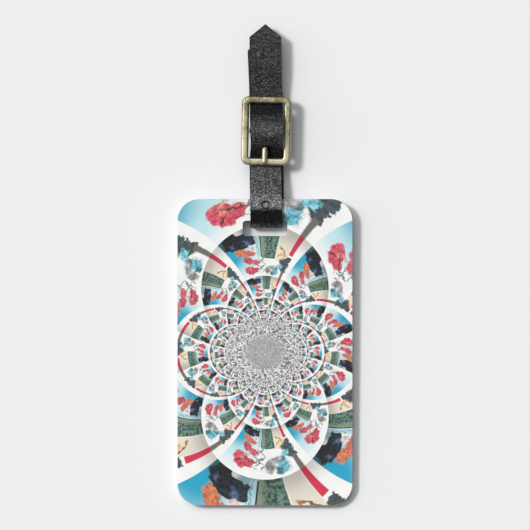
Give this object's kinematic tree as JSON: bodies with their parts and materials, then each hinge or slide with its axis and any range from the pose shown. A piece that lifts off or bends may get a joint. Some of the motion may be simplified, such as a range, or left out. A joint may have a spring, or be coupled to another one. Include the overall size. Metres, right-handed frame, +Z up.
{
  "type": "luggage tag",
  "caption": "Rectangular printed acrylic luggage tag with rounded corners and a strap slot, on a black leather strap with a pointed tip and a brass buckle.",
  "frame": {"origin": "middle of the tag's outline as it lies flat, on the surface that it lies on", "axes": "+Y from the card along the strap to its tip, +Z up out of the printed face, +X across the card"},
  "size_m": [0.0508, 0.1396, 0.009],
  "materials": {
    "acrylic": "gloss",
    "front_print": "gloss",
    "back_print": "gloss",
    "leather": "grained",
    "thread": "matte",
    "brass": "antique, brushed"
  },
  "bodies": {
    "tag": {"tag_plate": "acrylic", "front_print": "front_print", "back_print": "back_print"},
    "strap_base": {"strap_slot_bend": "leather", "strap_front_base": "leather", "strap_back_base": "leather"},
    "loop": {"strap_front_flex": "leather", "strap_back_flex": "leather", "strap_crest": "leather", "strap_back_run": "leather", "strap_loop_bend": "leather", "strap_fixed_run": "leather", "strap_bar_wrap": "leather", "strap_fold_tab": "leather", "fold_stitches": "thread"},
    "buckle": {"buckle_frame": "brass", "centre_bar": "brass"},
    "prong": {"prong": "brass"},
    "tail": {"strap_tail": "leather"}
  },
  "joints": [
    {"name": "strap_swivel", "type": "hinge", "parent": "tag", "child": "strap_base", "pos_m": [0, 0.0124, 0.0029], "axis": [0, 0, 1], "range_deg": [-6, 6]},
    {"name": "strap_fold", "type": "hinge", "parent": "strap_base", "child": "loop", "pos_m": [0, 0.0231, 0.0029], "axis": [1, 0, 0], "range_deg": [0, 80], "deforming": ["strap_front_flex", "strap_back_flex"]},
    {"name": "buckle_rock", "type": "hinge", "parent": "loop", "child": "buckle", "pos_m": [0.00035, 0.0389, 0.00555], "axis": [0.9998, -0.0209, 0], "range_deg": [-2, 2]},
    {"name": "prong_lift", "type": "hinge", "parent": "buckle", "child": "prong", "pos_m": [0.00035, 0.0389, 0.00555], "axis": [-0.9998, 0.0209, 0], "range_deg": [0, 3]},
    {"name": "tail_lift", "type": "hinge", "parent": "loop", "child": "tail", "pos_m": [0, 0.0496, 0.00435], "axis": [1, 0, 0], "range_deg": [0, 60]}
  ]
}
